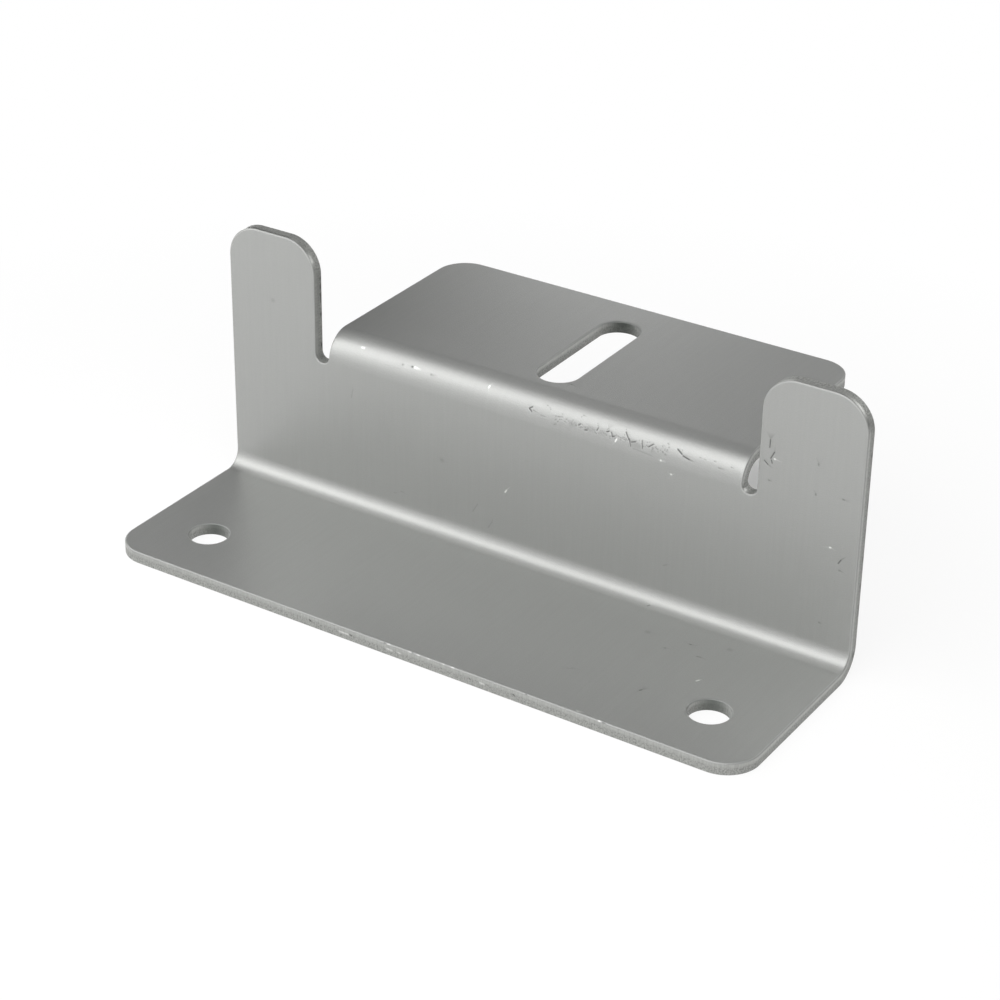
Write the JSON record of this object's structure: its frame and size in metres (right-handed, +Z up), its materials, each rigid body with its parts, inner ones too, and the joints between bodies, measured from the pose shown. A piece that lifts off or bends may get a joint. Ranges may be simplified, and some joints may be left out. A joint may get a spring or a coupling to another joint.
{
  "type": "z bracket",
  "caption": "Folded sheet-metal Z bracket: flat foot with bolt holes, upright web with rounded ears, slotted top flange.",
  "frame": {"origin": "underside of the foot, midway between the centres of its two holes", "axes": "+X along the bracket's length, +Y from the foot towards the top flange, +Z up out of the foot"},
  "size_m": [0.116, 0.0713, 0.0465],
  "materials": {
    "anodised_sheet": "satin clear-anodised sheet, silver grey, with bare punched edges"
  },
  "bodies": {
    "root": {"z_bracket": "anodised_sheet"}
  },
  "joints": []
}
